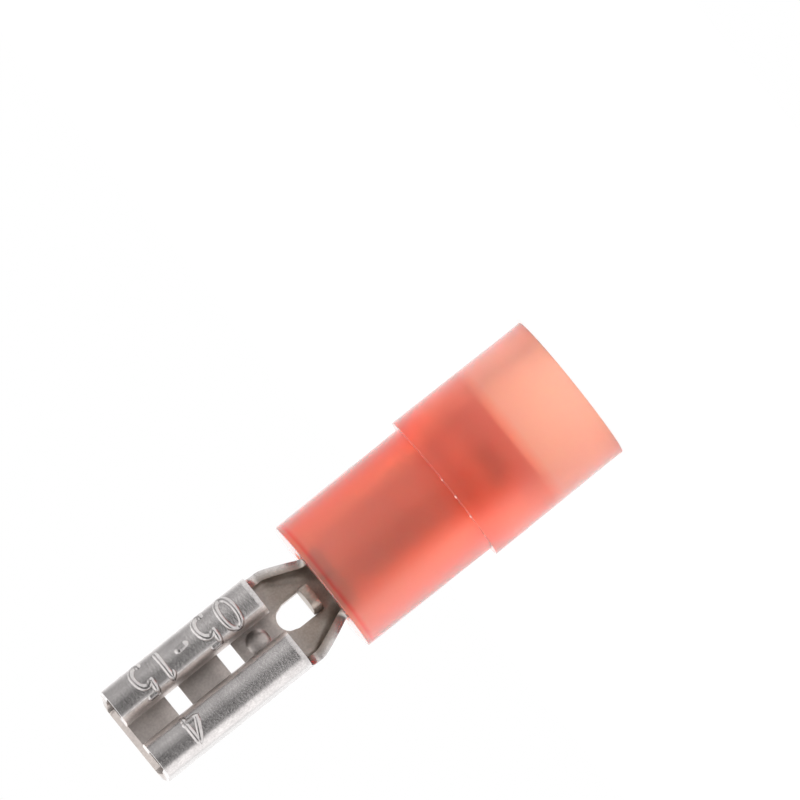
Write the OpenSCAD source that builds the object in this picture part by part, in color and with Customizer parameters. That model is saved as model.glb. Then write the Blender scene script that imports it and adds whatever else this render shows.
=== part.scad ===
// Insulated female spade connector for a 2.8 x 0.8 mm tab and wire of 0.5 to 1.5 mm2.
// A stamped and rolled brass terminal, a stepped support ferrule over its wire barrel,
// and a nylon sleeve over both. All sizes are in millimetres.
// Each piece is drawn lying along X: X = 0 is the wire entry face, the tab arrives from -X,
// Z = 0 is the axis of barrel, ferrule and sleeve, and the receptacle opens towards +Z.
// stand_up() then sets it on its flat wire entry face, because lying down it would roll:
// Z runs up the axis from the wire entry to the tab, and the receptacle opens towards -Y.

/* [Receptacle] */
// Thickness of the brass sheet
sheet_t = 0.35; // [0.3:0.01:0.4]
// Length from the floor's front edge to the rear of the rolled sides
receptacle_l = 6.45; // [6:0.05:7.5]
// Width over the two rolled sides
receptacle_w = 3.8; // [3.7:0.05:4.1]
// Height over the rolled sides
receptacle_h = 2.2; // [2.1:0.05:2.4]
// Outside radius of the bends between floor and sides
floor_bend_r = 0.65; // [0.55:0.05:0.75]
// Gap between the two rolled sides
roll_gap = 0.88; // [0.75:0.01:1]
// Thickness of the tab that the rolled edges press on the floor
tab_t = 0.8; // [0.7:0.05:0.85]
// Distance from the floor's front edge back to the rolled sides
roll_setback = 0.2; // [0.1:0.05:0.4]
// Width of the floor's front edge between its cut corners
front_edge_w = 2.95; // [2.6:0.05:3.2]
// Length of the lead-in bevel on the floor's front edge
lead_in_l = 0.22; // [0.1:0.02:0.4]
// Depth of the lead-in bevel
lead_in_h = 0.16; // [0.08:0.02:0.24]

/* [Floor windows] */
// Distance from the floor's front edge to the first window
window_start = 1.84; // [1.4:0.02:2.2]
// Length of each window along the connector
window_l = 0.6; // [0.4:0.05:0.8]
// Width of each window across the floor
window_w = 2.2; // [1.6:0.1:2.4]
// Distance from one window to the next
window_pitch = 2.3; // [1.8:0.05:2.6]
// Number of windows
window_n = 2; // [1:1:2]
// Distance from the floor's front edge to the centre of the tab stop bump
bump_x = 5.55; // [5.3:0.05:5.8]
// Radius of the bump where it leaves the floor
bump_r = 0.41; // [0.3:0.01:0.5]
// Height of the bump above the floor
bump_h = 0.1; // [0.06:0.02:0.22]

/* [Neck] */
// Length of the neck between the rolled sides and the sleeve's mouth
neck_l = 1.95; // [1.8:0.05:2.6]
// Height of the neck's low side walls above the underside
neck_wall_h = 0.7; // [0.6:0.05:0.9]
// Radius of the rounded corners at both ends of the neck's opening
neck_corner_r = 0.35; // [0.2:0.05:0.45]
// Distance inside the sleeve's mouth at which the neck's opening ends
neck_opening_inset = 0.15; // [0:0.05:0.3]
// Length behind the rolled sides over which the neck keeps the receptacle's width
neck_straight = 0.42; // [0.3:0.02:0.6]
// Depth inside the sleeve's mouth at which the neck becomes the round barrel
barrel_inset = 0.6; // [0.5:0.05:1]

/* [Wire stop] */
// Width of the slot that the wire stop is lanced from
slot_w = 1.03; // [0.8:0.01:1.2]
// Length of the slot, up to the root of the wire stop
slot_l = 1.63; // [1.5:0.01:1.7]
// Height of the wire stop above the floor
stop_h = 1.2; // [0.9:0.05:1.3]
// Angle by which the wire stop leans back towards the barrel
stop_lean = 4; // [0:1:8]
// Inside radius of the bend at the root of the wire stop
stop_bend_r = 0.1; // [0.08:0.01:0.15]
// Gap between each edge of the wire stop and its slot
lance_gap = 0.03; // [0.02:0.005:0.05]

/* [Wire barrel] */
// Bore of the wire barrel
barrel_bore_d = 1.7; // [1.6:0.05:1.8]
// Length of the round wire barrel
barrel_l = 4.8; // [4.2:0.1:5.2]
// Width of the butt seam along the top of the barrel
seam_gap = 0.06; // [0.04:0.01:0.1]

/* [Support ferrule] */
// Wall of the ferrule
ferrule_t = 0.25; // [0.24:0.01:0.32]
// Radial clearance between barrel and ferrule
barrel_clearance = 0.02; // [0.01:0.005:0.04]
// Distance from the barrel's front end to the ferrule's front end
ferrule_setback = 0.1; // [0.05:0.05:0.3]
// Distance that the ferrule's narrow part reaches past the rear of the barrel
ferrule_overrun = 0.05; // [0:0.05:0.3]
// Length of the cone between the two diameters
ferrule_cone_l = 1.15; // [0.8:0.05:1.4]
// Outside diameter of the wide rear part
ferrule_rear_d = 4; // [3.8:0.05:4.2]
// Length of the wide rear part, which grips the wire's insulation
ferrule_rear_l = 1.5; // [1.2:0.1:2]

/* [Insulating sleeve] */
// Length of the sleeve
sleeve_l = 11; // [10.5:0.1:12]
// Length of the narrow front part, up to the step
sleeve_front_l = 5.4; // [5:0.1:6]
// Nylon wall at the mouth, over the ferrule
mouth_wall = 1.09; // [0.9:0.01:1.2]
// Nylon wall on the narrow part just before the step
step_wall = 1.12; // [0.95:0.01:1.25]
// Rise of the step between the narrow part and the collar
step_rise = 0.28; // [0.2:0.01:0.35]
// Taper of the collar's diameter from the step to the wire entry
collar_draft = 0.09; // [0:0.01:0.15]
// Radius of the sleeve's outer edges
edge_r = 0.08; // [0.04:0.01:0.12]
// Radial clearance between ferrule and sleeve
ferrule_clearance = 0.02; // [0.01:0.005:0.04]
// Height of the ledge behind the ferrule, which keeps it in the sleeve
ledge_h = 0.06; // [0.03:0.01:0.08]

/* [Hidden] */
$fn = 96;

// Places along the connector
mouth_x = -sleeve_l;
roll_rear_x = mouth_x - neck_l;
front_x = roll_rear_x - receptacle_l;
barrel_x = mouth_x + barrel_inset;
barrel_end_x = barrel_x + barrel_l;
ferrule_x = barrel_x + ferrule_setback;
cone_x = barrel_end_x + ferrule_overrun;
ferrule_wide_x = cone_x + ferrule_cone_l;
ferrule_end_x = ferrule_wide_x + ferrule_rear_l;
step_x = mouth_x + sleeve_front_l;

// Radii of barrel, ferrule and sleeve bore
barrel_bore_r = barrel_bore_d / 2;
barrel_r = barrel_bore_r + sheet_t;
ferrule_bore_r = barrel_r + barrel_clearance;
ferrule_r = ferrule_bore_r + ferrule_t;
ferrule_rear_r = ferrule_rear_d / 2;
pocket_r = ferrule_rear_r + ferrule_clearance;
entry_bore_r = pocket_r - ledge_h;
sleeve_bore_r = ferrule_r + ferrule_clearance;
mouth_r = sleeve_bore_r + mouth_wall;
step_r = sleeve_bore_r + step_wall;
collar_r = step_r + step_rise;
entry_outer_r = collar_r - collar_draft / 2;

// Levels of the sheet in the receptacle: its underside runs level with the barrel
under_z = -barrel_r;
floor_z = under_z + sheet_t;
top_z = under_z + receptacle_h;
half_w = receptacle_w / 2;
roll_r = (half_w - roll_gap / 2) / 2;
roll_y = half_w - roll_r;
roll_z = top_z - roll_r;
roll_edge_z = floor_z + tab_t;
wall_top_z = under_z + neck_wall_h;

// Loft of the neck: stations along X, and points on each rounded corner
neck_stations = 14;
corner_points = 7;
// Where the loft meets the barrel its corners are this much short of a full circle
corner_flat = 0.02;
// The loft is this much thinner than the sheet on each face and reaches this far into it,
// so that it joins the receptacle and the barrel inside their walls
join_skin = 0.01;
join_l = 0.15;
neck_from_x = roll_rear_x - join_l;
neck_to_x = barrel_x + join_l;
taper_from_x = roll_rear_x + neck_straight;
taper_ease = 0.12;

// Distance that a cutting shape reaches past what it cuts
past = 1;

function mix(a, b, t) = a + (b - a) * t;

// Runs from 0 to 1 at a steady rate, with short soft ends
function soft_ramp(u) =
    u <= 0 ? 0 :
    u >= 1 ? 1 :
    u < taper_ease ? u * u / (2 * taper_ease * (1 - taper_ease)) :
    u > 1 - taper_ease ? 1 - (1 - u) * (1 - u) / (2 * taper_ease * (1 - taper_ease)) :
    (u - taper_ease / 2) / (1 - taper_ease);

function arc(cy, cz, r, from, to) =
    [for (i = [0:corner_points]) let (a = mix(from, to, i / corner_points))
        [cy + r * cos(a), cz + r * sin(a)]];

// Cross-section of the neck at x, set in from the sheet's outer face: a rounded rectangle
// at the receptacle, which becomes a circle at the barrel
function neck_outline(x, inset) =
    let (
        t = soft_ramp((x - taper_from_x) / (barrel_x - taper_from_x)),
        w = mix(half_w, barrel_r, t) - inset,
        low_r = mix(floor_bend_r, barrel_r - corner_flat, t) - inset,
        high_r = mix(roll_r, barrel_r - corner_flat, t) - inset,
        low = under_z + inset,
        high = mix(top_z, barrel_r, t) - inset
    )
    concat(
        arc(w - low_r, low + low_r, low_r, -90, 0),
        arc(w - high_r, high - high_r, high_r, 0, 90),
        arc(high_r - w, high - high_r, high_r, 90, 180),
        arc(low_r - w, low + low_r, low_r, 180, 270)
    );

// Closed tube of sheet from the receptacle's section to the barrel's, as one mesh:
// rings of outer and inner points, joined along X and capped at both ends
module neck_loft() {
    n = 4 * (corner_points + 1);
    xs = [for (i = [0:neck_stations]) mix(neck_from_x, neck_to_x, i / neck_stations)];
    insets = [join_skin, sheet_t - join_skin];
    points = [for (x = xs, inset = insets, p = neck_outline(x, inset)) [x, p[0], p[1]]];
    function at(station, face, k) = (2 * station + face) * n + k % n;
    skin = [for (s = [0:neck_stations - 1], k = [0:n - 1])
        each [
            [at(s, 0, k), at(s + 1, 0, k + 1), at(s, 0, k + 1)],
            [at(s, 0, k), at(s + 1, 0, k), at(s + 1, 0, k + 1)],
            [at(s, 1, k), at(s, 1, k + 1), at(s + 1, 1, k + 1)],
            [at(s, 1, k), at(s + 1, 1, k + 1), at(s + 1, 1, k)]
        ]];
    last = neck_stations;
    caps = [for (k = [0:n - 1])
        each [
            [at(0, 0, k), at(0, 0, k + 1), at(0, 1, k + 1)],
            [at(0, 0, k), at(0, 1, k + 1), at(0, 1, k)],
            [at(last, 0, k), at(last, 1, k + 1), at(last, 0, k + 1)],
            [at(last, 0, k), at(last, 1, k), at(last, 1, k + 1)]
        ]];
    polyhedron(points = points, faces = concat(skin, caps));
}

// Turns a profile drawn in Y and Z so that it runs along +X from x for the given length
module along_x(x, length) {
    translate([x, 0, 0]) rotate([90, 0, 90]) linear_extrude(length) children();
}

// Turns a profile drawn in X and Z so that it runs across the connector, centred on Y = 0
module across_y(width) {
    rotate([90, 0, 0]) linear_extrude(width, center = true) children();
}

// Part of a round bend of the sheet: its outer radius, and the corner and the size of the
// rectangle that keeps the wanted part
module bend(outer_r, keep_from, keep_size) {
    intersection() {
        difference() {
            circle(outer_r);
            circle(outer_r - sheet_t);
        }
        translate(keep_from) square(keep_size);
    }
}

// Section of one half of the receptacle: floor, bend, upright side and rolled edge
module half_receptacle_profile() {
    bend_y = half_w - floor_bend_r;
    bend_z = under_z + floor_bend_r;
    translate([0, under_z]) square([bend_y, sheet_t]);
    translate([bend_y, bend_z]) bend(floor_bend_r, [0, -past], [past, past]);
    translate([half_w - sheet_t, bend_z]) square([sheet_t, roll_z - bend_z]);
    translate([roll_y, roll_z]) bend(roll_r, [-past, 0], [2 * past, past]);
    translate([roll_gap / 2, roll_edge_z]) square([sheet_t, roll_z - roll_edge_z]);
}

// Side view of what is cut away in front of the rolled sides, sloping back from the floor
module roll_front_cut() {
    across_y(receptacle_w + past)
        polygon([
            [front_x - past, floor_z], [front_x, floor_z],
            [front_x + roll_setback, roll_z], [front_x + roll_setback, top_z + past],
            [front_x - past, top_z + past]
        ]);
}

// Top view of the two corners cut off the front of the floor
module front_corner_cut() {
    for (side = [-1, 1])
        translate([0, 0, under_z - past]) linear_extrude(past + receptacle_h)
            polygon([
                [front_x - past, side * front_edge_w / 2], [front_x, side * front_edge_w / 2],
                [front_x + roll_setback, side * half_w],
                [front_x + roll_setback, side * (half_w + past)],
                [front_x - past, side * (half_w + past)]
            ]);
}

// Side view of the bevel that leads the tab onto the floor
module lead_in_cut() {
    across_y(front_edge_w)
        polygon([
            [front_x - past, floor_z - lead_in_h], [front_x, floor_z - lead_in_h],
            [front_x + lead_in_l, floor_z], [front_x + lead_in_l, floor_z + lead_in_h],
            [front_x - past, floor_z + lead_in_h]
        ]);
}

module windows() {
    for (i = [0:window_n - 1])
        translate([front_x + window_start + i * window_pitch, -window_w / 2, under_z - past])
            cube([window_l, window_w, sheet_t + 2 * past]);
}

module receptacle() {
    difference() {
        along_x(front_x, receptacle_l) {
            half_receptacle_profile();
            mirror([1, 0]) half_receptacle_profile();
        }
        roll_front_cut();
        front_corner_cut();
        lead_in_cut();
        windows();
    }
}

// Ball whose cap stands bump_h proud of a plane at z with radius bump_r in it
module bump_ball(z) {
    ball_r = (bump_r * bump_r + bump_h * bump_h) / (2 * bump_h);
    translate([front_x + bump_x, 0, z + bump_h - ball_r]) sphere(ball_r);
}

// The tab stop: a dimple pressed up from below
module tab_stop_cap() {
    root_z = floor_z - join_skin;
    intersection() {
        bump_ball(floor_z);
        translate([front_x + bump_x - bump_r - join_skin, -past, root_z])
            cube([2 * (bump_r + join_skin), 2 * past, floor_z + bump_h - root_z]);
    }
}

// Side view of the opening over the neck, with rounded lower corners
module neck_opening() {
    rear_x = mouth_x + neck_opening_inset;
    r = neck_corner_r;
    low_front = [for (i = [0:corner_points]) let (a = mix(180, 270, i / corner_points))
        [roll_rear_x + r + r * cos(a), wall_top_z + r + r * sin(a)]];
    low_rear = [for (i = [0:corner_points]) let (a = mix(270, 360, i / corner_points))
        [rear_x - r + r * cos(a), wall_top_z + r + r * sin(a)]];
    above = max(top_z, barrel_r) + past;
    across_y(receptacle_w + past)
        polygon(concat(
            [[neck_from_x - past, wall_top_z + r]], low_front, low_rear,
            [[rear_x, above], [neck_from_x - past, above]]
        ));
}

// Top view of the slot in the neck's floor, rounded at its front end
module stop_slot() {
    slot_x = roll_rear_x + slot_w / 2;
    translate([0, 0, under_z - past]) linear_extrude(past + 2 * sheet_t) {
        translate([slot_x, 0]) circle(slot_w / 2);
        translate([slot_x, -slot_w / 2]) square([slot_l - slot_w / 2, slot_w]);
    }
}

// Tongue lanced from the slot and bent up in front of the barrel, with a round top
module wire_stop() {
    w = slot_w - 2 * lance_gap;
    outer_bend_r = stop_bend_r + sheet_t;
    straight_l = stop_h - stop_bend_r - w / 2;
    translate([roll_rear_x + slot_l, 0, floor_z + stop_bend_r]) {
        // Bend from the floor's underside up to the tongue
        rotate([90, 0, 0]) translate([0, 0, -w / 2])
            rotate([0, 0, 180 - stop_lean])
                rotate_extrude(angle = 90 + stop_lean)
                    translate([stop_bend_r, 0]) square([sheet_t, w]);
        // Short root that carries the bend into the floor
        translate([-join_skin, -w / 2, -outer_bend_r]) cube([join_l, w, sheet_t]);
        rotate([0, stop_lean, 0]) translate([-outer_bend_r, 0, 0])
            rotate([90, 0, 90]) linear_extrude(sheet_t) {
                translate([-w / 2, -join_skin]) square([w, straight_l + join_skin]);
                translate([0, straight_l]) circle(w / 2);
            }
    }
}

module barrel() {
    along_x(barrel_x, barrel_l) difference() {
        circle(barrel_r);
        circle(barrel_bore_r);
    }
}

// The butt seam along the top of neck and barrel, where the sheet's two edges meet
module seam() {
    translate([mouth_x - past, -seam_gap / 2, 0])
        cube([barrel_end_x - mouth_x + 2 * past, seam_gap, barrel_r + past]);
}

// Sets a piece that was drawn along X on the wire entry face, open side towards -Y
module stand_up() {
    rotate([0, 90, -90]) children();
}

module terminal() {
    color("#b4b0ab") stand_up() {
        difference() {
            union() {
                receptacle();
                difference() {
                    neck_loft();
                    neck_opening();
                }
                barrel();
                tab_stop_cap();
            }
            stop_slot();
            bump_ball(under_z);
            seam();
        }
        wire_stop();
    }
}

// Outline of half the ferrule, as radius over x, turned about the axis
module support_ferrule() {
    color("#a8927c") stand_up() rotate([0, 90, 0]) rotate_extrude()
        polygon([
            [ferrule_bore_r, ferrule_x], [ferrule_r, ferrule_x],
            [ferrule_r, cone_x], [ferrule_rear_r, ferrule_wide_x],
            [ferrule_rear_r, ferrule_end_x], [ferrule_rear_r - ferrule_t, ferrule_end_x],
            [ferrule_rear_r - ferrule_t, ferrule_wide_x], [ferrule_bore_r, cone_x]
        ]);
}

// Outline of half the sleeve, turned about the axis
module insulating_sleeve() {
    pocket_end_x = ferrule_end_x + ferrule_clearance;
    color("#e8604f") stand_up() rotate([0, 90, 0]) rotate_extrude()
        polygon([
            [sleeve_bore_r, mouth_x], [mouth_r - edge_r, mouth_x], [mouth_r, mouth_x + edge_r],
            [step_r, step_x], [collar_r - edge_r, step_x], [collar_r, step_x + edge_r],
            [entry_outer_r, -edge_r], [entry_outer_r - edge_r, 0], [entry_bore_r, 0],
            [entry_bore_r, pocket_end_x], [pocket_r, pocket_end_x],
            [pocket_r, ferrule_wide_x], [sleeve_bore_r, cone_x]
        ]);
}

terminal();
support_ferrule();
insulating_sleeve();
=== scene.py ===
# %% [markdown]
# # A female spade connector, dressed in Blender
# The connector is three pieces pushed into each other: a tin-plated brass terminal that grips
# a flat tab, a short metal ferrule over its wire barrel, and a red nylon sleeve over both.
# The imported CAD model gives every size. Here each piece is modelled again with finer edges
# and curves, in the same place, because at this size the eye sees every sheared edge.

# %% Load the frame
import math

import bmesh
import bpy
from mathutils import Matrix, Vector


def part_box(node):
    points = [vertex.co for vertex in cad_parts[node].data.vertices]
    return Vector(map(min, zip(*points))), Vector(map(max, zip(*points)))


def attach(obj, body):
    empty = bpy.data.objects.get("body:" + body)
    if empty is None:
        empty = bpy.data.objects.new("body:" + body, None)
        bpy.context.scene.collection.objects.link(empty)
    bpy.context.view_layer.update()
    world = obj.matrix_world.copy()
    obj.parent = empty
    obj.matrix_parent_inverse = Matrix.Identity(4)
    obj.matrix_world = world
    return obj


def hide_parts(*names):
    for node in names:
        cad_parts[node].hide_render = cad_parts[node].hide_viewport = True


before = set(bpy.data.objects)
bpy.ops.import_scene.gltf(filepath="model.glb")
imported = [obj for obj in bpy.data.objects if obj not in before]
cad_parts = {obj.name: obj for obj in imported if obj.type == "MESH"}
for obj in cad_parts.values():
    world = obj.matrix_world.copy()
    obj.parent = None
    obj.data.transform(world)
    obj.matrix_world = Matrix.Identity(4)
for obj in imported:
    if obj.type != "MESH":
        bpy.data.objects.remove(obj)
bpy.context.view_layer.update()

print("nodes", sorted(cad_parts))

# %% [markdown]
# ## Working in millimetres
# Blender's unit is the metre, and this object is 19 mm long. Operators such as merge and bevel
# work with small fixed tolerances, so each piece is modelled in millimetres and then made
# a thousand times smaller, with that scale applied to its mesh. The helpers below do by name
# what a modeller does by hand: pick vertices or faces by their place, extrude, apply, measure.
# Places nearer to each other than NEAR, in millimetres, count as one.

# %% Helpers for modelling by hand in code
MM = 0.001
NEAR = 0.001


def deselect_all():
    for o in bpy.context.selected_objects:
        o.select_set(False)


def select_only(piece):
    """Selects one object and makes it the active one."""
    deselect_all()
    piece.select_set(True)
    bpy.context.view_layer.objects.active = piece


def start_vertex(name, place):
    """A new object that holds one vertex: a plane merged to its middle."""
    deselect_all()
    bpy.ops.mesh.primitive_plane_add(size=1, location=(0, 0, 0))
    piece = bpy.context.object
    piece.name = name
    piece.data.name = name
    bpy.ops.object.mode_set(mode="EDIT")
    bpy.ops.mesh.select_mode(type="VERT")
    bpy.ops.mesh.merge(type="CENTER")
    bpy.ops.transform.translate(value=place)
    return piece


def select_near(piece, places):
    """In edit mode, selects exactly the vertices that lie at the given places."""
    bpy.ops.mesh.select_all(action="DESELECT")
    mesh = bmesh.from_edit_mesh(piece.data)
    wanted = [Vector(p) for p in places]
    for v in mesh.verts:
        if any((v.co - p).length < NEAR for p in wanted):
            v.select_set(True)
    mesh.select_flush_mode()
    bmesh.update_edit_mesh(piece.data)


def select_faces(piece, wanted):
    """In edit mode, selects the faces whose middles are wanted, and counts them."""
    bpy.ops.mesh.select_all(action="DESELECT")
    bpy.ops.mesh.select_mode(type="FACE")
    mesh = bmesh.from_edit_mesh(piece.data)
    count = 0
    for f in mesh.faces:
        if wanted(f.calc_center_median()):
            f.select_set(True)
            count += 1
    bmesh.update_edit_mesh(piece.data)
    return count


def grow(piece, old, new):
    """Extrudes the row of vertices at old, and sets the new row's vertices at new."""
    select_near(piece, old)
    bpy.ops.mesh.extrude_region_move(TRANSFORM_OT_translate={"value": (0, 0, 0)})
    mesh = bmesh.from_edit_mesh(piece.data)
    for v in mesh.verts:
        if v.select:
            nearest = min(range(len(old)), key=lambda i: (v.co - Vector(old[i])).length)
            v.co = new[nearest]
    bmesh.update_edit_mesh(piece.data)


def turn_normals_out():
    """In edit mode, merges what lies together and points every face outwards."""
    bpy.ops.mesh.select_all(action="SELECT")
    bpy.ops.mesh.remove_doubles(threshold=NEAR)
    bpy.ops.mesh.normals_make_consistent(inside=False)


def use_modifier(piece, kind, **settings):
    """Adds a modifier, sets it and applies it."""
    modifier = piece.modifiers.new(kind.lower(), kind)
    for key, value in settings.items():
        setattr(modifier, key, value)
    bpy.context.view_layer.objects.active = piece
    bpy.ops.object.modifier_apply(modifier=modifier.name)


def round_edges(piece, width, segments, sharper_than):
    """Bevels the edges that are sharper than an angle in degrees."""
    use_modifier(piece, "BEVEL", width=width, segments=segments, limit_method="ANGLE",
                 angle_limit=math.radians(sharper_than))


def shade_smooth(piece, up_to):
    """Shades a piece smooth across edges up to an angle in degrees."""
    select_only(piece)
    bpy.ops.object.shade_smooth_by_angle(angle=math.radians(up_to))


def to_metres(piece):
    """Makes a finished piece real size and puts its place into its mesh."""
    select_only(piece)
    piece.scale = (MM, MM, MM)
    bpy.ops.object.transform_apply(location=True, rotation=True, scale=True)


def measured(piece):
    corners = [v.co for v in piece.data.vertices]
    size = [max(c[i] for c in corners) - min(c[i] for c in corners) for i in range(3)]
    print(piece.name, "faces", len(piece.data.polygons), "size", [round(s, 3) for s in size])


# %% [markdown]
# ## The terminal is one bent sheet
# The real terminal is stamped flat and rolled. So it is modelled as a sheet with no thickness
# first: one half of it, as a grid of rows that follow the bends. Solidify then gives it the
# thickness of the brass, which also makes every cut edge square to the sheet, as shearing does.
# Heights run up the axis from the wire entry, and all sizes are in millimetres.

# %% Sizes of the terminal's sheet
SHEET = 0.35
MID = SHEET / 2
FRONT_Z = 19.4
ROLL_REAR_Z = 12.95
TAPER_FROM_Z = 12.53
OPENING_END_Z = 10.85
BARREL_Z = 10.4
BARREL_END_Z = 5.6
HALF_WIDTH = 1.9
TOP_HEIGHT = 1.0
LOW_BEND_R = 0.65
HIGH_BEND_R = 0.73
BARREL_R = 1.2
BARREL_BEND_R = 1.18
SEAM_HALF = 0.03
TAPER_EASE = 0.12
FLOOR_Y = 1.025
SIDE_X = 1.725
CORNER_R = 0.35
WALL_EDGE_Y = 0.5
WALL_JOIN_Y = WALL_EDGE_Y - CORNER_R
SLOT_END_Z = 11.32
SLOT_R = 0.515
SLOT_ROUND_Z = ROLL_REAR_Z - SLOT_R
WINDOWS = ((17.56, 16.96), (15.26, 14.66))
WINDOW_HALF = 1.1
BUMP_Z = 13.85
print("sheet", SHEET, "mm, receptacle", round(FRONT_Z - ROLL_REAR_Z, 2), "mm long")

# %% [markdown]
# ## One section that changes along the axis
# Cut across, the sheet is a floor, a bend, a side, another bend and a top. From the receptacle
# to the barrel its width shrinks and its bends grow, until they meet in a circle. A class holds
# the section at one height, so that any point of the sheet is found from its height and from
# its distance along the sheet. The blank's own outline adds the wall's edge and the front edge.

# %% Section, wall edge and front edge
FRONT_CUT = 0.2
CORNER_CUT_FROM_X = 1.475
CORNER_CUT_SPAN = 0.425
SIDE_CUT_FROM_Y = 0.85
SIDE_CUT_SPAN = 1.12


def mix(a, b, t):
    return a + (b - a) * t


def clamped(value):
    return min(max(value, 0), 1)


def soft_ramp(u):
    """A way from 0 to 1 that eases in and out over a short share at each end."""
    full = 2 * TAPER_EASE * (1 - TAPER_EASE)
    if u <= 0:
        return 0.0
    if u >= 1:
        return 1.0
    if u < TAPER_EASE:
        return u * u / full
    if u > 1 - TAPER_EASE:
        return 1 - (1 - u) ** 2 / full
    return (u - TAPER_EASE / 2) / (1 - TAPER_EASE)


class Section:
    """The middle of the sheet, cut across at height z: floor, low bend, side, high bend, top."""

    def __init__(self, z):
        t = soft_ramp((TAPER_FROM_Z - z) / (TAPER_FROM_Z - BARREL_Z))
        self.w = mix(HALF_WIDTH, BARREL_R, t) - MID
        self.low_r = mix(LOW_BEND_R, BARREL_BEND_R, t) - MID
        self.high_r = mix(HIGH_BEND_R, BARREL_BEND_R, t) - MID
        self.high = mix(TOP_HEIGHT, BARREL_R, t) - MID
        self.flat = self.w - self.low_r
        self.bend_y = FLOOR_Y - self.low_r
        self.bend = self.flat + self.low_r * math.pi / 2
        self.side = self.bend + self.bend_y + self.high - self.high_r
        self.roll = self.side + self.high_r * math.pi / 2
        self.end = self.roll + self.w - self.high_r - SEAM_HALF

    def at(self, s):
        """The point (x, y) at distance s along the sheet from the middle of the floor."""
        if s <= self.flat:
            return s, FLOOR_Y
        if s <= self.bend:
            a = (s - self.flat) / self.low_r
            return self.flat + self.low_r * math.sin(a), self.bend_y + self.low_r * math.cos(a)
        if s <= self.side:
            return self.w, self.bend_y - (s - self.bend)
        if s <= self.roll:
            a = (s - self.side) / self.high_r
            return (self.w - self.high_r + self.high_r * math.cos(a),
                    self.high_r - self.high - self.high_r * math.sin(a))
        return self.w - self.high_r - (s - self.roll), -self.high

    def reach(self, y):
        """The distance along the sheet at which it rises to the level y."""
        if y > self.bend_y:
            return self.flat + self.low_r * math.acos((y - self.bend_y) / self.low_r)
        return self.bend + self.bend_y - y


def wall_edge(z):
    """Level of the neck's wall edge, with rounded corners at both ends of the opening."""
    front, rear = ROLL_REAR_Z - CORNER_R, OPENING_END_Z + CORNER_R
    past = z - front if z > front else rear - z if z < rear else 0.0
    return WALL_JOIN_Y + math.sqrt(max(CORNER_R ** 2 - past ** 2, 0.0))


def front_z(x, y):
    """Height of the front edge: cut back at the corners, and sloping back up the sides."""
    corner = clamped((x - CORNER_CUT_FROM_X) / CORNER_CUT_SPAN)
    slope = clamped((SIDE_CUT_FROM_Y - y) / SIDE_CUT_SPAN)
    return FRONT_Z - FRONT_CUT * max(corner, slope)


receptacle = Section(FRONT_Z)
print("flat half of the floor", round(receptacle.flat, 3), "mm, side at", round(receptacle.w, 3))

# %% [markdown]
# ## Columns and rows of the sheet
# The columns run along the part: on the edges of slot and windows, and close together through
# the bend. The rows lie closer together where something happens: at the lead-in, at both
# windows, round the bump that stops the tab, and on the rounded corners of the neck's opening.

# %% Columns and rows
FLAT_COLUMNS = [0.0, 0.1, 0.2, 0.3, 0.4, SLOT_R, 0.72, 0.92, WINDOW_HALF]
BEND_STEPS = 8
WALL_STEPS = 3
ROW_GAP = 0.03

wall_start = receptacle.reach(WALL_JOIN_Y)
bend_columns = [mix(receptacle.flat, receptacle.bend, i / BEND_STEPS)
                for i in range(BEND_STEPS + 1)]
wall_columns = [mix(receptacle.bend, wall_start, i / WALL_STEPS) for i in range(1, WALL_STEPS + 1)]
columns = FLAT_COLUMNS + bend_columns + wall_columns
print("columns", len(columns), "half floor and side", round(columns[-1], 3), "mm")


def corner_rows(start, way):
    """Heights at even angles round a rounded corner of the neck's opening."""
    return [start + way * CORNER_R * math.cos(math.radians(a)) for a in range(0, 91, 15)]


(high_1, low_1), (high_2, low_2) = WINDOWS
front_rows = [FRONT_Z, 19.18, 18.6, 18.1, high_1, 17.26, low_1, 16.4, 15.8, high_2, 14.96, low_2]
bump_rows = [BUMP_Z + 0.1 * i for i in range(5, -6, -1)] + [13.15]
neck_rows = corner_rows(ROLL_REAR_Z - CORNER_R, 1)
neck_rows += [TAPER_FROM_Z, 12.4, 12.2, 12.0, 11.8, 11.65, 11.5]
neck_rows += corner_rows(OPENING_END_Z + CORNER_R, -1) + [SLOT_END_Z]
barrel_rows = [10.7, 10.55, BARREL_Z, 9.2, 8.0, 6.8, BARREL_END_Z]
all_rows = {round(z, 4) for z in front_rows + bump_rows + neck_rows + barrel_rows}
rows = sorted(all_rows, reverse=True)
rows = [z for i, z in enumerate(rows)
        if i == 0 or rows[i - 1] - z > ROW_GAP or z in (SLOT_END_Z, OPENING_END_Z, ROLL_REAR_Z)]
print("rows", len(rows), "from", rows[0], "to", rows[-1])

# %% [markdown]
# ## Drawing the sheet
# The front row is drawn vertex by vertex. Then it is extruded from row to row, and each new row
# is set on its section of the part. The neck's floor has a slot that ends in a half circle.
# Over the slot the rows are squeezed to its straight part, and the row at its end is bent
# round the half circle, so that the faces inside the slot can simply be deleted later.

# %% Sheet
TOUCH = 1e-6
SLOT_SQUEEZE = (SLOT_ROUND_Z - SLOT_END_Z) / (ROLL_REAR_Z - SLOT_END_Z)


def over_slot(x):
    return x < SLOT_R + TOUCH


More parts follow.
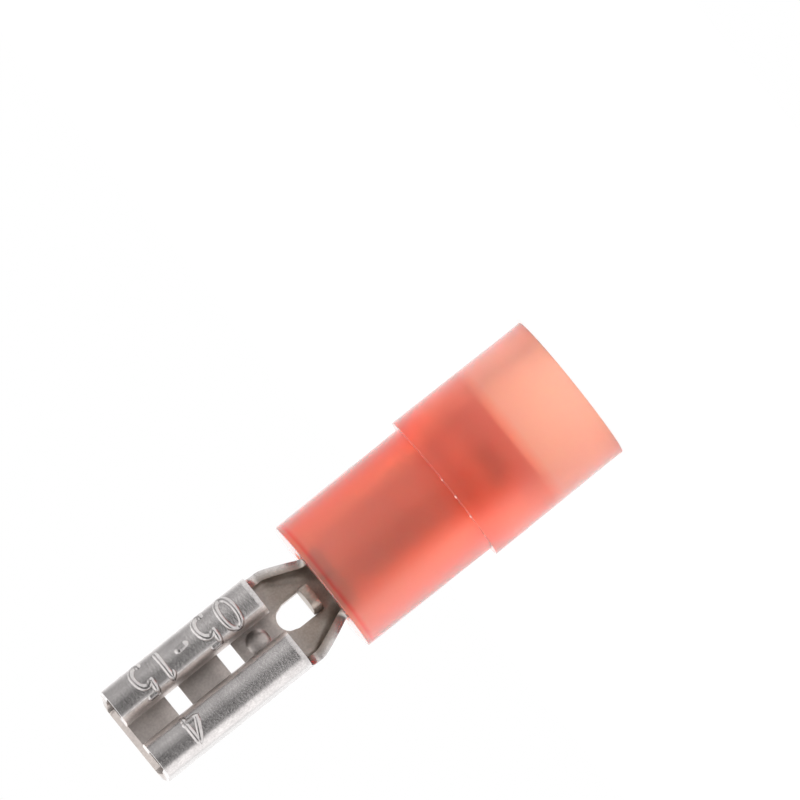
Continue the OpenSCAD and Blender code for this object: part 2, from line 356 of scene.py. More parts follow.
def sheet_row(z):
    """One row of the floor and the low side, from the middle out to the wall's edge."""
    section = Section(z)
    reach = section.reach(wall_edge(z) if z < ROLL_REAR_Z else WALL_JOIN_Y)
    row = []
    for s in columns:
        if s > SLOT_R:
            s = mix(SLOT_R, reach, (s - SLOT_R) / (columns[-1] - SLOT_R))
        x, y = section.at(s)
        height = z
        if z == FRONT_Z:
            height = front_z(x, y)
        elif z == ROLL_REAR_Z and over_slot(x):
            height = SLOT_ROUND_Z + math.sqrt(max(SLOT_R ** 2 - x * x, 0))
        elif SLOT_END_Z < z < ROLL_REAR_Z and over_slot(x):
            height = SLOT_END_Z + (z - SLOT_END_Z) * SLOT_SQUEEZE
        row.append((x, y, height))
    return row


grid = {z: sheet_row(z) for z in rows}
front_row = grid[rows[0]]
terminal = start_vertex("terminal_sheet", front_row[0])
for here, there in zip(front_row, front_row[1:]):
    grow(terminal, [here], [there])
for z, next_z in zip(rows, rows[1:]):
    grow(terminal, grid[z], grid[next_z])
print("sheet vertices", len(bmesh.from_edit_mesh(terminal.data).verts))

# %% [markdown]
# ## Rolling the sides over
# On the real part the two edges of the blank are rolled inwards until they point down at the
# tab, and spring against it. The column along the wall is extruded up the side and round the
# curl. Behind the neck's opening the same column closes into the tube of the barrel.

# %% Curls, and the closed neck and barrel
CURL = Vector((1.17, -0.27))
CURL_R = 0.555
CURL_STEPS = 18
CURL_EDGE_Y = 0.05
LEG_X = CURL.x - CURL_R
LEG_MIDDLE_Y = -0.11
SIDE_MIDDLE_Y = -0.06
TUBE_STEPS = 16

curl_path = [(SIDE_X, SIDE_MIDDLE_Y), (SIDE_X, CURL.y)]
for i in range(1, CURL_STEPS + 1):
    a = math.pi * i / CURL_STEPS
    curl_path.append((CURL.x + CURL_R * math.cos(a), CURL.y - CURL_R * math.sin(a)))
curl_path += [(LEG_X, LEG_MIDDLE_Y), (LEG_X, CURL_EDGE_Y)]

roll_rows = [z for z in rows if z >= ROLL_REAR_Z]
edge = [grid[z][-1] for z in roll_rows]
for x, y in curl_path:
    following = [(x, y, front_z(x, y) if z == FRONT_Z else z) for z in roll_rows]
    grow(terminal, edge, following)
    edge = following

tube_rows = [z for z in rows if z <= OPENING_END_Z]
edge = [grid[z][-1] for z in tube_rows]
for i in range(1, TUBE_STEPS + 1):
    following = []
    for z in tube_rows:
        section = Section(z)
        x, y = section.at(mix(section.reach(WALL_JOIN_Y), section.end, i / TUBE_STEPS))
        following.append((x, y, z))
    grow(terminal, edge, following)
    edge = following
print("curl", len(curl_path), "steps, tube", TUBE_STEPS, "steps")

# %% [markdown]
# ## Windows and slot
# Two windows are punched across the floor, and the neck's floor has the slot from which the
# wire stop was cut. Their outlines already lie on rows and columns of the sheet, so deleting
# the faces inside them gives clean edges.

# %% Windows and slot
FLOOR_FACES_Y = 1.0


def in_window(c):
    on_floor = c.y > FLOOR_FACES_Y and c.x < WINDOW_HALF
    return on_floor and any(low < c.z < high for high, low in WINDOWS)


def in_slot(c):
    from_middle = math.hypot(c.x, max(c.z - SLOT_ROUND_Z, 0))
    return c.y > FLOOR_FACES_Y and c.z > SLOT_END_Z and from_middle < SLOT_R


for name, inside in (("window", in_window), ("slot", in_slot)):
    print(name, "faces", select_faces(terminal, inside))
    bpy.ops.mesh.delete(type="FACE")
bpy.ops.mesh.select_mode(type="VERT")

# %% [markdown]
# ## Wire stop
# A tongue is lanced out of the neck's floor and bent up a little past square, so that the
# wire's strands end against it. It grows from the slot's rear edge, so it is one piece with
# the floor: first rows round the bend, then straight ones, then rows that change step by step
# from a straight line to the tongue's round end.

# %% Wire stop
STOP_BEND_R = 0.275
STOP_BEND_Y = FLOOR_Y - STOP_BEND_R
STOP_BEND_STEPS = 7
STOP_LEAN = math.radians(94)
STOP_HALF = 0.485
STOP_STRAIGHT = 0.615
STOP_ROUND_FROM = STOP_STRAIGHT - 0.1
STOP_ROUND_STEPS = 6
STOP_ROUND_ANGLE = math.radians(80)

root = [p for p in grid[SLOT_END_Z] if over_slot(p[0])]
shares = [p[0] / SLOT_R for p in root]
stop_rows = []
for i in range(1, STOP_BEND_STEPS + 1):
    a = STOP_LEAN * i / STOP_BEND_STEPS
    half = mix(SLOT_R, STOP_HALF, i / STOP_BEND_STEPS)
    y = STOP_BEND_Y + STOP_BEND_R * math.cos(a)
    z = SLOT_END_Z + STOP_BEND_R * math.sin(a)
    stop_rows.append([(half * f, y, z) for f in shares])
bend_end = Vector(stop_rows[-1][0])
rise = Vector((0, -math.sin(STOP_LEAN), math.cos(STOP_LEAN)))


def on_stop(x, h):
    """The place on the tongue at x across and h up from the end of its bend."""
    p = bend_end + rise * h
    return (x, p.y, p.z)


for h in (STOP_ROUND_FROM / 2, STOP_ROUND_FROM):
    stop_rows.append([on_stop(STOP_HALF * f, h) for f in shares])
flat_end = [(STOP_HALF * f, STOP_ROUND_FROM) for f in shares]
round_end = [(STOP_HALF * math.sin(f * STOP_ROUND_ANGLE),
              STOP_STRAIGHT + STOP_HALF * math.cos(f * STOP_ROUND_ANGLE)) for f in shares]
for i in range(1, STOP_ROUND_STEPS + 1):
    t = i / STOP_ROUND_STEPS
    stop_rows.append([on_stop(mix(p[0], q[0], t), mix(p[1], q[1], t))
                      for p, q in zip(flat_end, round_end)])
edge = root
for following in stop_rows:
    grow(terminal, edge, following)
    edge = following
print("wire stop rows", len(stop_rows))

# %% [markdown]
# ## The other half, and the sheet's thickness
# The half is mirrored, its two halves are merged along the middle, and Solidify gives the sheet
# its thickness. Its rim is the cut edge of the brass.

# %% Mirror and thickness
bpy.ops.object.mode_set(mode="OBJECT")
use_modifier(terminal, "MIRROR", use_axis=(True, False, False), use_clip=True,
             merge_threshold=NEAR)
bpy.ops.object.mode_set(mode="EDIT")
turn_normals_out()
bpy.ops.object.mode_set(mode="OBJECT")
use_modifier(terminal, "SOLIDIFY", thickness=SHEET, offset=0, use_even_offset=True, use_rim=True)
measured(terminal)

# %% [markdown]
# ## The bump that stops the tab
# A small round bump is punched up through the floor, with a dent below it. Proportional editing
# pulls the grid up round one vertex, as a punch would. Its sphere falloff is steep at the rim,
# and that rim catches the light, so the floor is divided more finely there first.

# %% Bump
BUMP_H = 0.1
BUMP_REACH = 0.43
DENT_REACH = 0.34
FINE_REACH = 0.53
FLOOR_TOP_Y = FLOOR_Y - MID
UNDERSIDE_Y = FLOOR_Y + MID
ON_LEVEL = 0.01


def from_bump(place):
    return math.hypot(place.x, place.z - BUMP_Z)


bpy.ops.object.mode_set(mode="EDIT")
for level, reach in ((FLOOR_TOP_Y, BUMP_REACH), (UNDERSIDE_Y, DENT_REACH)):
    select_faces(terminal, lambda c: abs(c.y - level) < ON_LEVEL and from_bump(c) < FINE_REACH)
    bpy.ops.mesh.subdivide(number_cuts=2)
    bpy.ops.mesh.select_mode(type="VERT")
    select_near(terminal, [(0, level, BUMP_Z)])
    bpy.ops.transform.translate(
        value=(0, -BUMP_H, 0), use_proportional_edit=True, use_proportional_connected=True,
        proportional_edit_falloff="SPHERE", proportional_size=reach)
bpy.ops.object.mode_set(mode="OBJECT")
crown = min(v.co.y for v in terminal.data.vertices
            if from_bump(v.co) < BUMP_REACH and v.co.y > WALL_EDGE_Y)
print("bump stands", round(FLOOR_TOP_Y - crown, 3), "mm above the floor")

# %% [markdown]
# ## Lead-in and sheared edges
# The front edge of the floor is pressed thinner, so that the tab slides onto it: the vertices
# of its upper side are moved down. Then a fine bevel breaks all sheared edges, because no real
# edge is perfectly sharp, and a thin line of light along it shows that.

# %% Lead-in and edges
LEAD_IN_H = 0.16
LEAD_IN_FROM_Z = 19.3
LEAD_IN_HALF = 1.3
LEAD_IN_BAND = 0.05
SHEARED_EDGE = 0.022

bpy.ops.object.mode_set(mode="EDIT")
bpy.ops.mesh.select_all(action="DESELECT")
mesh = bmesh.from_edit_mesh(terminal.data)
for v in mesh.verts:
    at_front = v.co.z > LEAD_IN_FROM_Z and abs(v.co.x) < LEAD_IN_HALF
    if at_front and abs(v.co.y - FLOOR_TOP_Y) < LEAD_IN_BAND:
        v.select_set(True)
bmesh.update_edit_mesh(terminal.data)
bpy.ops.transform.translate(value=(0, LEAD_IN_H, 0))
bpy.ops.mesh.select_all(action="SELECT")
bpy.ops.mesh.normals_make_consistent(inside=False)
bpy.ops.object.mode_set(mode="OBJECT")
round_edges(terminal, width=SHEARED_EDGE, segments=2, sharper_than=62)
shade_smooth(terminal, up_to=32)
measured(terminal)

# %% [markdown]
# ## Stamped numbers
# The blank is stamped with raised numbers before it is rolled, so they follow the curls. Here
# plain numbers give the wire's range in tenths of a square millimetre, and a single one the
# place in the stamping tool. A punch leaves soft, rounded strokes, which text with bevelled
# edges doesn't give. So each figure is one line of points, drawn here on a square of side 1.

# %% Lines of the figures
def arc(cx, cy, rx, ry, start, end, steps):
    """Points on an ellipse, from one angle to another, in degrees."""
    angles = [math.radians(mix(start, end, i / steps)) for i in range(steps + 1)]
    return [(cx + rx * math.cos(a), cy + ry * math.sin(a)) for a in angles]


def line(start, end, steps):
    """Points on a straight line, both ends included."""
    return [(mix(start[0], end[0], i / steps), mix(start[1], end[1], i / steps))
            for i in range(steps + 1)]


FIGURES = {
    "0": arc(0.5, 0.5, 0.42, 0.5, 0, 348, 29),
    "1": line((0.3, 0.72), (0.55, 1), 3) + line((0.55, 0.9), (0.55, 0), 10),
    "4": line((0.72, 0), (0.72, 1), 10) + line((0.66, 0.9), (0.05, 0.32), 8)
         + line((0.14, 0.3), (0.95, 0.3), 8),
    "5": line((0.85, 1), (0.22, 1), 6) + line((0.2, 0.92), (0.15, 0.6), 3)
         + arc(0.46, 0.34, 0.42, 0.34, 130, -140, 20),
    "-": line((0.05, 0.41), (0.95, 0.45), 6),
}
CLOSED_FIGURES = "0"
print("figures", " ".join(FIGURES))

# %% [markdown]
# ## From lines to strokes
# Each line is laid round the outside of a curl as a row of vertices, turned into a curve, and
# given a round section. The section's middle lies inside the metal, so that only a low, broad
# ridge stands out, and it is thinner at the ends, which dip under the surface.

# %% Numbers on the curls
STROKE_R = 0.15
STROKE_LIFT = -0.075
STROKE_RESOLUTION = 3
END_RADIUS_SHARE = 0.45
FIGURE_W = 0.7
FIGURE_H = 1.22


def on_curl(point, curl_x, middle_z):
    """A figure's point laid on the outside of a curl: it reads towards the tab end."""
    r = CURL_R + MID + STROKE_LIFT
    a = (point[1] - 0.5) * FIGURE_H / r
    return (curl_x - r * math.sin(a), CURL.y - r * math.cos(a),
            middle_z + (point[0] - 0.5) * FIGURE_W)


def stamped(name, figures, curl_x):
    """Figures at their heights on one curl, as one piece of round strokes."""
    strokes = []
    for figure, middle_z in figures:
        places = [on_curl(p, curl_x, middle_z) for p in FIGURES[figure]]
        stroke = start_vertex(name, places[0])
        for here, there in zip(places, places[1:]):
            grow(stroke, [here], [there])
        if figure in CLOSED_FIGURES:
            select_near(stroke, [places[0], places[-1]])
            bpy.ops.mesh.edge_face_add()
        bpy.ops.object.mode_set(mode="OBJECT")
        strokes.append(stroke)
    select_only(strokes[0])
    for stroke in strokes[1:]:
        stroke.select_set(True)
    if len(strokes) > 1:
        bpy.ops.object.join()
    bpy.ops.object.convert(target="CURVE")
    curve = bpy.context.object.data
    curve.bevel_depth = STROKE_R
    curve.bevel_resolution = STROKE_RESOLUTION
    curve.use_fill_caps = True
    for spline in curve.splines:
        if not spline.use_cyclic_u:
            spline.points[0].radius = END_RADIUS_SHARE
            spline.points[-1].radius = END_RADIUS_SHARE
    bpy.ops.object.convert(target="MESH")
    piece = bpy.context.object
    piece.name = name
    piece.data.name = name
    bpy.ops.object.mode_set(mode="EDIT")
    bpy.ops.mesh.select_all(action="SELECT")
    bpy.ops.mesh.normals_make_consistent(inside=False)
    bpy.ops.object.mode_set(mode="OBJECT")
    shade_smooth(piece, up_to=50)
    measured(piece)
    return piece


WIRE_RANGE = (("0", 14.12), ("5", 15.11), ("-", 16.1), ("1", 16.94), ("5", 17.86))
TOOL_PLACE = (("4", 17.5),)
wire_range = stamped("wire_range_numbers", WIRE_RANGE, CURL.x)
tool_number = stamped("tool_place_number", TOOL_PLACE, -CURL.x)

# %% [markdown]
# ## Ferrule and sleeve are turned shapes
# Both are round, so each is drawn as the outline of its wall, in pairs of radius and height,
# and spun about the axis, as on a lathe. The spin's first and last outlines are merged before
# its normals are put right. A small bevel stands for the rounding that a mould or die leaves.

# %% Turned pieces
FERRULE_WALL = (
    (1.22, 10.3), (1.47, 10.3), (1.47, 5.55), (2.0, 4.4), (2.0, 2.9), (1.75, 2.9), (1.75, 4.4),
    (1.22, 5.55))
SLEEVE_WALL = (
    (1.49, 11.0), (2.58, 11.0), (2.61, 5.6), (2.885, 5.6), (2.845, 0.0), (1.96, 0.0),
    (1.96, 2.88), (2.02, 2.88), (2.02, 4.4), (1.49, 5.55))
TURNED_EDGE = 0.03


def turned(name, wall, steps):
    """A closed outline of (radius, height) spun once round the axis, with its edges rounded."""
    places = [(r, 0, z) for r, z in wall]
    piece = start_vertex(name, places[0])
    for here, there in zip(places, places[1:]):
        grow(piece, [here], [there])
    select_near(piece, [places[0], places[-1]])
    bpy.ops.mesh.edge_face_add()
    bpy.ops.mesh.select_all(action="SELECT")
    bpy.ops.mesh.spin(steps=steps, angle=math.tau, center=(0, 0, 0), axis=(0, 0, 1))
    turn_normals_out()
    bpy.ops.object.mode_set(mode="OBJECT")
    round_edges(piece, width=TURNED_EDGE, segments=3, sharper_than=35)
    shade_smooth(piece, up_to=30)
    measured(piece)
    return piece


ferrule = turned("support_ferrule_tube", FERRULE_WALL, steps=128)
sleeve = turned("nylon_sleeve", SLEEVE_WALL, steps=160)

# %% [markdown]
# ## Where shade and light are painted on the metal
# The curls keep the smoother finish, while the floor and the faces at the gap between the curls
# get a duller roughness and a painted shade in their colour, and the inside of the neck a deeper
# painted shade. The faces at the gap also get a painted light that makes them paler. Three
# attributes of the mesh hold this for each vertex: how much painted shade and dullness it gets,
# how much painted light at the gap, and how much painted shade inside the neck. The bump gets
# only part of the painted shade and dullness, as if rubbed a little by each tab. The metal's
# colour and roughness read the attributes, so the painted shade and light follow the shape.

# %% Painted shade, painted light at the gap, and painted shade in the neck
NECK_SHADE_FROM_Z = 13.1
NECK_SHADE_FULL_Z = 12.4
GAP_FACE_X = 0.68
GAP_TOP_Y = -0.75
GAP_MARGIN = 0.1
RUBBED_REACH = 0.45
RUBBED = 0.75

painted_shade_and_dull = terminal.data.attributes.new("painted_shade_and_dull", "FLOAT", "POINT")
gap_painted_light = terminal.data.attributes.new("gap_painted_light", "FLOAT", "POINT")
neck_painted_shade = terminal.data.attributes.new("neck_painted_shade", "FLOAT", "POINT")
for v in terminal.data.vertices:
    x, y, z = v.co
    section = Section(z)
    within = abs(x) < section.w and -section.high < y < FLOOR_Y and z > BARREL_Z
    at_gap = abs(x) < GAP_FACE_X and GAP_TOP_Y < y < FLOOR_Y and z > BARREL_Z
    # painted shade and duller roughness in the recesses and at the gap, only part of it on the
    # bump
    if within and y > CURL_EDGE_Y or at_gap:
        painted_shade_and_dull.data[v.index].value = RUBBED if from_bump(v.co) < RUBBED_REACH else 1
    # painted light on the faces at the gap, which makes them paler
    if at_gap and z > ROLL_REAR_Z - GAP_MARGIN and y < CURL_EDGE_Y + GAP_MARGIN:
        gap_painted_light.data[v.index].value = 1
    # painted shade, deeper towards the inside of the neck
    if within:
        neck_painted_shade.data[v.index].value = clamped(
            (NECK_SHADE_FROM_Z - z) / (NECK_SHADE_FROM_Z - NECK_SHADE_FULL_Z))
for attribute in (painted_shade_and_dull, gap_painted_light, neck_painted_shade):
    print(attribute.name, sum(v.value > 0 for v in attribute.data), "vertices")

# %% [markdown]
# ## Flash on the sleeve's step
# Where the mould's two halves of the collar meet, a little nylon is squeezed out and torn off,
# and leaves pale specks on the step's edge. Each is a small icosphere, pressed flat along the
# axis, and the four are joined into one piece. Each pair below gives a speck's angle, from the
# middle of the open side towards -X, and its relative size.

# %% Flash specks
SPECKS = ((2.4, 0.8), (17.8, 1.0), (35.9, 1.0), (57.4, 0.7))
SPECK_R = 0.07
SPECK_FLATNESS = 0.7
STEP_Z = 5.6
SPECK_FROM_AXIS = 2.812

specks = []
for degrees, size in SPECKS:
    a = math.radians(degrees)
    bpy.ops.mesh.primitive_ico_sphere_add(
        subdivisions=2, radius=SPECK_R * size, scale=(1, 1, SPECK_FLATNESS),
        location=(-SPECK_FROM_AXIS * math.sin(a), -SPECK_FROM_AXIS * math.cos(a), STEP_Z))
    specks.append(bpy.context.object)
select_only(specks[0])
for speck in specks[1:]:
    speck.select_set(True)
bpy.ops.object.join()
flash = bpy.context.object
flash.name = "mould_flash"
flash.data.name = "mould_flash"
bpy.ops.object.transform_apply(location=True, rotation=True, scale=True)
bpy.ops.object.shade_smooth()
measured(flash)

for piece in (terminal, ferrule, sleeve, wire_range, tool_number, flash):
    to_metres(piece)

# %% [markdown]
# ## Helpers for materials
# Both finishes and the studio are built from the same few nodes, so each kind of node gets
# a small helper. Noise reads the object's own coordinates, in metres, so its scales are large.

# %% Nodes
def node_material(name):
    material = bpy.data.materials.new(name)
    material.use_nodes = True
    nodes, links = material.node_tree.nodes, material.node_tree.links
    return material, nodes, links, nodes["Principled BSDF"]


def set_inputs(node, **values):
    """Sets constant values; a socket's name is written with _ in place of each space."""
    for name, value in values.items():
        node.inputs[name.replace("_", " ")].default_value = value


def split_place(nodes, links, kind):
    """X, Y and Z of a texture coordinate."""
    place = nodes.new("ShaderNodeTexCoord")
    split = nodes.new("ShaderNodeSeparateXYZ")
    links.new(place.outputs[kind], split.inputs["Vector"])
    return split.outputs


def add_noise(nodes, links, scale, detail):
    place = nodes.new("ShaderNodeTexCoord")
    noise = nodes.new("ShaderNodeTexNoise")
    set_inputs(noise, Scale=scale, Detail=detail)
    links.new(place.outputs["Object"], noise.inputs["Vector"])
    return noise.outputs["Fac"]


def add_ramp(nodes, links, source, stops):
    """A colour ramp through stops of (position, colour)."""
    ramp = nodes.new("ShaderNodeValToRGB")
    while len(ramp.color_ramp.elements) < len(stops):
        ramp.color_ramp.elements.new(0.5)
    for element, (position, color) in zip(ramp.color_ramp.elements, stops):
        element.position = position
        element.color = (*color, 1)
    links.new(source, ramp.inputs["Fac"])
    return ramp.outputs["Color"]


def grey(value):
    return (value, value, value)


def maths(nodes, links, operation, *values):
    """A maths node; each value is a number, or an output to link."""
    node = nodes.new("ShaderNodeMath")
    node.operation = operation
    for socket, value in zip(node.inputs, values):
        if isinstance(value, float):
            socket.default_value = value
        else:
            links.new(value, socket)
    return node.outputs["Value"]


def mixed(nodes, links, kind, factor, first, second):
    """A colour mix whose factor and first colour are linked, and whose second is constant."""
    blend = nodes.new("ShaderNodeMix")
    blend.data_type = "RGBA"
    blend.blend_type = kind
    links.new(factor, blend.inputs["Factor"])
    links.new(first, blend.inputs[6])
    blend.inputs[7].default_value = (*second, 1)
    return blend.outputs[2]


def add_bump(nodes, links, shader, height, strength, distance):
    bump = nodes.new("ShaderNodeBump")
    set_inputs(bump, Strength=strength, Distance=distance)
    links.new(height, bump.inputs["Height"])
    links.new(bump.outputs["Normal"], shader.inputs["Normal"])


# %% [markdown]
# ## Tin-plated brass
# The plating is pale and satin. A broad noise shifts its colour between two greys, as handling
# does, and a fine noise darkens it in specks and varies roughness and bump. The attributes of
# the terminal then give the recessed faces and the neck's inside a painted shade, and the faces
# at the gap a paler painted light. The ferrule has no such attributes, so they read as zero there.

# %% Metal
BROAD_SCALE = 1400
FINE_SCALE = 12000
# Colour factors: painted shade in the recesses, deeper painted shade in the neck, painted light at
# the gap
PAINTED_SHADE_AND_LIGHT = (("painted_shade_and_dull", (0.92, 0.87, 0.83)), ("neck_painted_shade", (0.9, 0.86, 0.8)),
         ("gap_painted_light", (1.55, 1.56, 1.58)))
DULL_ROUGHNESS = 0.42


def attribute_value(nodes, name):
    reader = nodes.new("ShaderNodeAttribute")
    reader.attribute_name = name
    return reader.outputs["Fac"]


def tin_material(name, metallic, dark, pale, smooth, rough, speckle):
    """Tin between two greys and two roughnesses; a lower speckle gives darker specks."""
    material, nodes, links, shader = node_material(name)
    set_inputs(shader, Metallic=metallic)
    broad = add_noise(nodes, links, BROAD_SCALE, 5)
    fine = add_noise(nodes, links, FINE_SCALE, 4)
    color = add_ramp(nodes, links, broad, [(0.3, dark), (0.7, pale)])
    grain = add_ramp(nodes, links, fine, [(0.38, grey(0)), (0.62, grey(0.8))])
    color = mixed(nodes, links, "MULTIPLY", grain, color, grey(speckle))
    for attribute, tint in PAINTED_SHADE_AND_LIGHT:
        color = mixed(nodes, links, "MULTIPLY", attribute_value(nodes, attribute), color, tint)
    links.new(color, shader.inputs["Base Color"])
    roughness = add_ramp(nodes, links, fine, [(0.3, grey(smooth)), (0.7, grey(rough))])
    roughness = mixed(nodes, links, "MIX", attribute_value(nodes, "painted_shade_and_dull"), roughness,
                      grey(DULL_ROUGHNESS))
    links.new(roughness, shader.inputs["Roughness"])
    add_bump(nodes, links, shader, fine, strength=0.4, distance=0.000008)
    return material


tinned_sheet = tin_material(
    "tinned_sheet", metallic=0.92, dark=(0.45, 0.427, 0.422), pale=(0.545, 0.519, 0.511),
    smooth=0.15, rough=0.25, speckle=0.84)
tinned_tube = tin_material(
    "tinned_tube", metallic=0.45, dark=(0.88, 0.84, 0.80), pale=(0.96, 0.92, 0.88),
    smooth=0.2, rough=0.28, speckle=0.9)
print("metal finishes", tinned_sheet.name, tinned_tube.name)

# %% [markdown]
# ## Translucent red nylon
# Light goes some way into the nylon, so the empty collar looks a pale salmon, while the part
# over the metal looks a deeper red. The base colour paints this along the sleeve: paler over the
# empty collar as painted light, deeper red over the metal as painted shade, and a narrow painted
# dark line just behind the mouth's edge. Transmission and subsurface scattering together let the
# ferrule show as a darker core, absorption deepens the red where the way through the nylon is
# longer, and a thin coat gives the gloss that the mould leaves. Torn flash is pale and matt.

# %% Nylon
ABSORBED_PER_M = (0, 510, 760)
ABSORPTION_PER_M = 820.0
SLEEVE_L = 0.011
CLOUD_SCALE = 700
CLOUD_SWAY = 0.012
# Base colour along the sleeve: nylon hue, paler painted light over the empty collar, painted shade
# over the metal, a painted dark line behind the mouth
HUE_WITH_PAINTED_LIGHT_AND_SHADE = (
    (0.0, (1.0, 1.0, 0.99)), (0.1, (1.0, 0.97, 0.92)), (0.23, (1.0, 0.88, 0.81)),
    (0.275, (1.0, 0.47, 0.36)), (0.46, (1.0, 0.47, 0.34)), (0.60, (1.0, 0.60, 0.49)),
    (0.975, (1.0, 0.69, 0.62)), (0.988, (0.95, 0.28, 0.28)), (0.996, (1.0, 0.69, 0.62)))

nylon, nodes, links, shader = node_material("red_nylon")
height = split_place(nodes, links, "Object")["Z"]
along = maths(nodes, links, "DIVIDE", height, SLEEVE_L)
cloud = add_noise(nodes, links, CLOUD_SCALE, 3)
sway = maths(nodes, links, "MULTIPLY_ADD", cloud, CLOUD_SWAY, along)
links.new(add_ramp(nodes, links, sway, HUE_WITH_PAINTED_LIGHT_AND_SHADE), shader.inputs["Base Color"])
set_inputs(shader, Roughness=0.34, IOR=1.45, Transmission_Weight=0.9)
set_inputs(shader, Subsurface_Weight=1.0, Subsurface_Radius=(1.0, 0.35, 0.25),
           Subsurface_Scale=0.001)
set_inputs(shader, Coat_Weight=0.5, Coat_Roughness=0.15, Coat_IOR=1.5)
absorb = nodes.new("ShaderNodeVolumeAbsorption")
passed = [1 - a / ABSORPTION_PER_M for a in ABSORBED_PER_M]
set_inputs(absorb, Color=(*passed, 1), Density=ABSORPTION_PER_M)
links.new(absorb.outputs["Volume"], nodes["Material Output"].inputs["Volume"])
add_bump(nodes, links, shader, cloud, strength=0.15, distance=0.00002)

torn, nodes, links, shader = node_material("torn_nylon")
set_inputs(shader, Base_Color=(0.93, 0.5, 0.42, 1), Roughness=0.5)
print("nylon", nylon.name, torn.name)

# %% [markdown]
# ## Handing the pieces over
# Each modelled piece gets its material, takes the place of its CAD node and rides on the only
# body. The numbers and the flash are additions that have no node of their own.

# %% Hand over
for piece, node, slot, finish in (
        (terminal, "terminal", "tinned_brass", tinned_sheet),
        (ferrule, "support_ferrule", "tinned_ferrule", tinned_tube),
        (sleeve, "insulating_sleeve", "red_nylon", nylon)):
    piece.data.materials.append(finish)
    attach(piece, "root")
    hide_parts(node)
    low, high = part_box(node)
    print(node, "CAD", [round(v / MM, 3) for v in (*low, *high)])
for piece, slot, finish in (
        (wire_range, "tinned_brass", tinned_sheet), (tool_number, "tinned_brass", tinned_sheet),
        (flash, "red_nylon", torn)):
    piece.data.materials.append(finish)
    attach(piece, "root")
    print(piece.name, "added in", finish.name)

# %% [markdown]
# ## Camera
# The connector stands on its wire entry in the frame, but the photograph shows it lying
# diagonally, so the camera is rolled until the axis runs up to the right. It looks at the open
# side, turned a little towards -X and raised a little. Two points of the axis and their places
# in the picture fix the roll, the scale and the aim.

# %% Camera
IMAGE = 800
DISTANCE = 0.7
SENSOR = 36
AXIS_FRONT_PX = Vector((131.2, 739.3))
AXIS_REAR_PX = Vector((571.1, 387.2))
TURN, LIFT = math.radians(8.5), math.radians(3.05)

toward = Vector((-math.sin(TURN) * math.cos(LIFT), -math.cos(TURN) * math.cos(LIFT),
                 math.sin(LIFT)))
drop = Vector((0, 0, -1))
along_axis = (drop - toward * drop.dot(toward)).normalized()
across_axis = toward.cross(along_axis)
step_px = AXIS_REAR_PX - AXIS_FRONT_PX
roll = math.atan2(-step_px.y, step_px.x)
right = along_axis * math.cos(roll) - across_axis * math.sin(roll)
up = along_axis * math.sin(roll) + across_axis * math.cos(roll)
px_per_m = step_px.length / (FRONT_Z * MM * math.cos(LIFT))
centre = (Vector((0, 0, FRONT_Z * MM)) + right * ((IMAGE / 2 - AXIS_FRONT_PX.x) / px_per_m)
          + up * ((AXIS_FRONT_PX.y - IMAGE / 2) / px_per_m))

lens_data = bpy.data.cameras.new("photo_camera")
camera = bpy.data.objects.new("photo_camera", lens_data)
bpy.context.scene.collection.objects.link(camera)
bpy.context.scene.camera = camera
lens_data.sensor_width = SENSOR
lens_data.lens = SENSOR * DISTANCE * px_per_m / IMAGE
lens_data.clip_start = 0.01
camera.location = centre + toward * DISTANCE
axes = (right, up, toward)
camera.rotation_mode = "QUATERNION"
camera.rotation_quaternion = Matrix([[a[i] for a in axes] for i in range(3)]).to_quaternion()
print("px per mm", round(px_per_m * MM, 2), "lens", round(lens_data.lens, 1))

# %% [markdown]
# ## Floor
# The connector stands on a plain pale floor. For camera rays, and for rays that come through
# the nylon, the floor mostly glows, so it looks about as white as the backdrop and still takes
# a faint shadow. For all other rays it is matt paper.

# %% Floor
FLOOR_SIZE = 0.3
FLOOR_GLOW = 0.75

deselect_all()
bpy.ops.mesh.primitive_plane_add(size=FLOOR_SIZE, location=(0, 0, 0))
floor = bpy.context.object
floor.name = "floor"
paper, nodes, links, shader = node_material("white_paper")
set_inputs(shader, Base_Color=(0.95, 0.95, 0.95, 1), Roughness=0.9)
glow = nodes.new("ShaderNodeEmission")
set_inputs(glow, Color=(1, 1, 1, 1))
rays = nodes.new("ShaderNodeLightPath").outputs
seen = maths(nodes, links, "MAXIMUM", rays["Is Camera Ray"], rays["Is Transmission Ray"])
blend = nodes.new("ShaderNodeMixShader")
links.new(maths(nodes, links, "MULTIPLY", seen, FLOOR_GLOW), blend.inputs["Fac"])
links.new(shader.outputs["BSDF"], blend.inputs[1])
links.new(glow.outputs["Emission"], blend.inputs[2])
links.new(blend.outputs["Shader"], nodes["Material Output"].inputs["Surface"])
floor.data.materials.append(paper)
print("floor", FLOOR_SIZE, "m")

# %% [markdown]
# ## Backdrop and light
# The world is a soft studio. Its brightness changes on the way round the connector, with a dark
# part in front, because a metal that only sees white has no shape. Steep directions all get one
# pale grey. The camera sees a plain white backdrop instead. Each pair below gives a direction,
# in degrees round from the camera and positive towards -X, and its brightness.

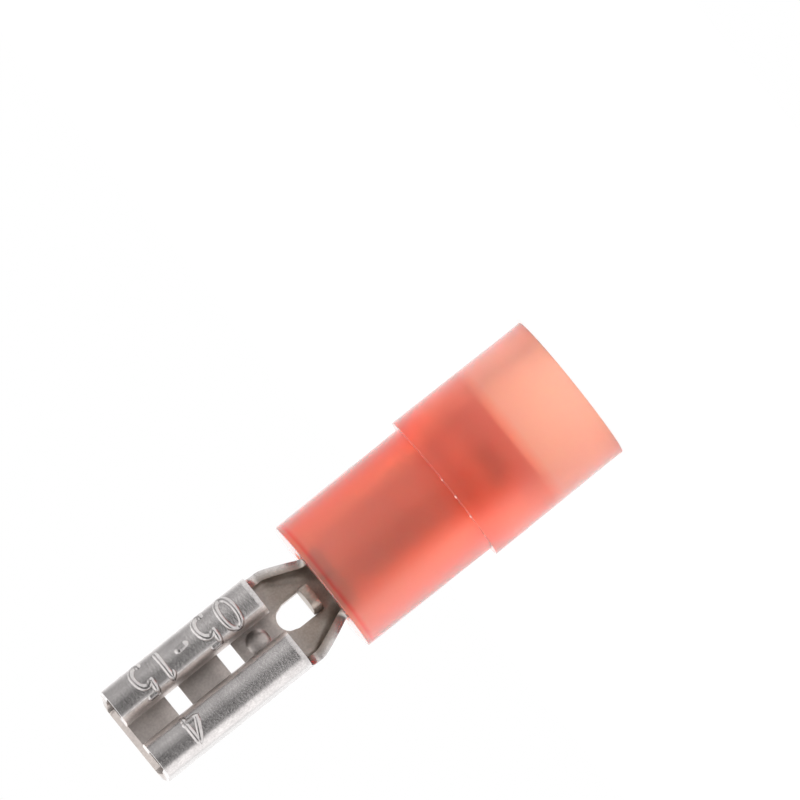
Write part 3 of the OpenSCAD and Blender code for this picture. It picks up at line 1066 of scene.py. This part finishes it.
# %% World
STUDIO = (
    (-170, 0.78), (-158, 0.7), (-147, 0.75), (-137, 0.55), (-126, 0.5), (-112, 0.36),
    (-98, 0.27), (-84, 0.33), (-62, 0.29), (-45, 0.34), (-30, 0.24), (-10, 0.18), (5, 0.07),
    (24, 0.03), (44, 0.03), (58, 0.22), (70, 0.74), (84, 0.95), (120, 0.95), (136, 0.8),
    (150, 0.6), (160, 0.6), (176, 0.78))
STUDIO_STRENGTH = 2.05
STEEP_FROM, STEEP_FULL = 0.3, 0.6
STEEP_GREY = 0.8


def ramp_place(degrees):
    """Where a direction lies on the ramp, which begins and ends at -Y."""
    heading = math.degrees(math.atan2(toward.x, toward.y)) + degrees
    return (heading + 180) % 360 / 360


def share_between(nodes, links, value, low, high):
    """The value's share of the way from low to high, between 0 and 1."""
    node = nodes.new("ShaderNodeMapRange")
    set_inputs(node, From_Min=low, From_Max=high)
    links.new(value, node.inputs["Value"])
    return node.outputs["Result"]


world = bpy.data.worlds.new("studio")
bpy.context.scene.world = world
world.use_nodes = True
nodes, links = world.node_tree.nodes, world.node_tree.links
studio = nodes["Background"]
way = split_place(nodes, links, "Generated")
heading = maths(nodes, links, "ARCTAN2", way["X"], way["Y"])
turned_by = share_between(nodes, links, heading, -math.pi, math.pi)
stops = sorted((ramp_place(degrees), grey(brightness)) for degrees, brightness in STUDIO)
round_light = add_ramp(nodes, links, turned_by, stops)
steep = share_between(nodes, links, maths(nodes, links, "ABSOLUTE", way["Z"]),
                      STEEP_FROM, STEEP_FULL)
light = mixed(nodes, links, "MIX", steep, round_light, grey(STEEP_GREY))
links.new(light, studio.inputs["Color"])
set_inputs(studio, Strength=STUDIO_STRENGTH)
backdrop = nodes.new("ShaderNodeBackground")
set_inputs(backdrop, Color=(1, 1, 1, 1))
rays = nodes.new("ShaderNodeLightPath").outputs
blend = nodes.new("ShaderNodeMixShader")
links.new(rays["Is Camera Ray"], blend.inputs["Fac"])
links.new(studio.outputs["Background"], blend.inputs[1])
links.new(backdrop.outputs["Background"], blend.inputs[2])
links.new(blend.outputs["Shader"], nodes["World Output"].inputs["Surface"])
bpy.context.scene.view_settings.view_transform = "Standard"
print("studio stops", len(stops))
